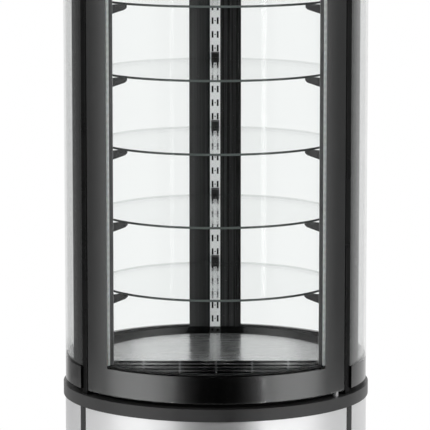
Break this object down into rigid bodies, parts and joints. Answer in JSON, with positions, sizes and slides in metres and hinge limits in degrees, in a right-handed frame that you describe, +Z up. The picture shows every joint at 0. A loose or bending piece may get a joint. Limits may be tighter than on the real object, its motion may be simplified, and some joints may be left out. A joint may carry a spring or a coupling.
{
  "type": "cake display case",
  "caption": "Upright round refrigerated cake display case with a curved glass door, glass shelves and a steel base.",
  "frame": {"origin": "on the floor below the middle of the round case, with the feet at their resting height", "axes": "+Z up, -Y towards the front and the door, +X towards the hinge side"},
  "size_m": [0.6899, 0.69, 1.75],
  "materials": {
    "zinc_steel": "zinc plated",
    "dark_metal": "satin paint",
    "black_metal": "gloss black paint",
    "brushed_steel": "vertical brushed",
    "bright_steel": "polished",
    "sheet_steel": "satin",
    "black_aluminium": "black, glossy",
    "grey_aluminium": "satin",
    "gloss_black": "glossy",
    "matte_black": "matt",
    "white_plastic": "matt",
    "opal_plastic": "opal",
    "foam": "foam",
    "case_glass": "clear",
    "shelf_glass": "clear",
    "seal_rubber": "matt",
    "cast_black": "black enamel",
    "copper": "bare"
  },
  "bodies": {
    "cabinet": {"base_plate": "zinc_steel", "base_frame": "dark_metal", "base_rear_skin": "brushed_steel", "base_front_panel": "brushed_steel", "base_seam_strips": "black_aluminium", "screws": "bright_steel", "collar_ring": "black_metal", "tub_shell": "black_metal", "tub_insulation": "foam", "tub_liner": "sheet_steel", "lower_frame": "gloss_black", "deck": "bright_steel", "deck_grille": "bright_steel", "evaporator_coil": "grey_aluminium", "evaporator_fan_frame": "matte_black", "drain_pipe": "white_plastic", "drip_tray": "matte_black", "compressor": "cast_black", "condenser_coil": "grey_aluminium", "condenser_shroud": "dark_metal", "refrigerant_lines": "copper", "control_panel": "matte_black", "thermostat": "matte_black", "power_gland": "matte_black", "left_front_post": "black_aluminium", "right_front_post": "black_aluminium", "rear_post": "gloss_black", "shelf_strips": "sheet_steel", "shelf_brackets": "black_metal", "shelf_clips": "matte_black", "shelf_1": "shelf_glass", "shelf_2": "shelf_glass", "shelf_3": "shelf_glass", "shelf_4": "shelf_glass", "shelf_5": "shelf_glass", "side_outer_glass": "case_glass", "side_inner_glass": "case_glass", "side_glass_bands": "matte_black", "led_channels": "grey_aluminium", "led_lenses": "opal_plastic", "hinge_pins": "bright_steel", "upper_frame": "gloss_black", "ceiling_panel": "white_plastic", "canopy_collar": "black_metal", "canopy_cover": "brushed_steel"},
    "door": {"door_outer_glass": "case_glass", "door_inner_glass": "case_glass", "door_frame": "black_aluminium", "door_border": "gloss_black", "door_gasket": "seal_rubber"},
    "condenser_fan": {"condenser_fan": "matte_black"},
    "evaporator_fan": {"evaporator_fan": "matte_black"},
    "light_switch": {"light_switch": "matte_black"},
    "set_key": {"set_key": "white_plastic"},
    "up_key": {"up_key": "white_plastic"},
    "down_key": {"down_key": "white_plastic"},
    "foot_front_left": {"levelling_foot_front_left": "zinc_steel"},
    "foot_front_right": {"levelling_foot_front_right": "zinc_steel"},
    "foot_rear_left": {"levelling_foot_rear_left": "zinc_steel"},
    "foot_rear_right": {"levelling_foot_rear_right": "zinc_steel"}
  },
  "joints": [
    {"name": "door_swing", "type": "hinge", "parent": "cabinet", "child": "door", "pos_m": [0.26264, -0.19648, 0.516], "axis": [0, 0, 1], "range_deg": [0, 100]},
    {"name": "condenser_fan_spin", "type": "hinge", "parent": "cabinet", "child": "condenser_fan", "pos_m": [0.05, 0.18, 0.163], "axis": [0, 1, 0], "continuous": true},
    {"name": "evaporator_fan_spin", "type": "hinge", "parent": "cabinet", "child": "evaporator_fan", "pos_m": [0, 0.033, 0.446], "axis": [0, 1, 0], "continuous": true},
    {"name": "light_switch_rock", "type": "hinge", "parent": "cabinet", "child": "light_switch", "pos_m": [-0.038, 0.32982, 0.3215], "axis": [1, 0, 0], "range_deg": [0, 16]},
    {"name": "set_key_press", "type": "slide", "parent": "cabinet", "child": "set_key", "axis": [0, -1, 0], "range_m": [0, 0.0008], "stiffness_N_per_m": 200},
    {"name": "up_key_press", "type": "slide", "parent": "cabinet", "child": "up_key", "axis": [0, -1, 0], "range_m": [0, 0.0008], "stiffness_N_per_m": 200},
    {"name": "down_key_press", "type": "slide", "parent": "cabinet", "child": "down_key", "axis": [0, -1, 0], "range_m": [0, 0.0008], "stiffness_N_per_m": 200},
    {"name": "foot_front_left_screw", "type": "slide", "parent": "cabinet", "child": "foot_front_left", "axis": [0, 0, 1], "range_m": [-0.01, 0.015]},
    {"name": "foot_front_right_screw", "type": "slide", "parent": "cabinet", "child": "foot_front_right", "axis": [0, 0, 1], "range_m": [-0.01, 0.015]},
    {"name": "foot_rear_left_screw", "type": "slide", "parent": "cabinet", "child": "foot_rear_left", "axis": [0, 0, 1], "range_m": [-0.01, 0.015]},
    {"name": "foot_rear_right_screw", "type": "slide", "parent": "cabinet", "child": "foot_rear_right", "axis": [0, 0, 1], "range_m": [-0.01, 0.015]}
  ]
}
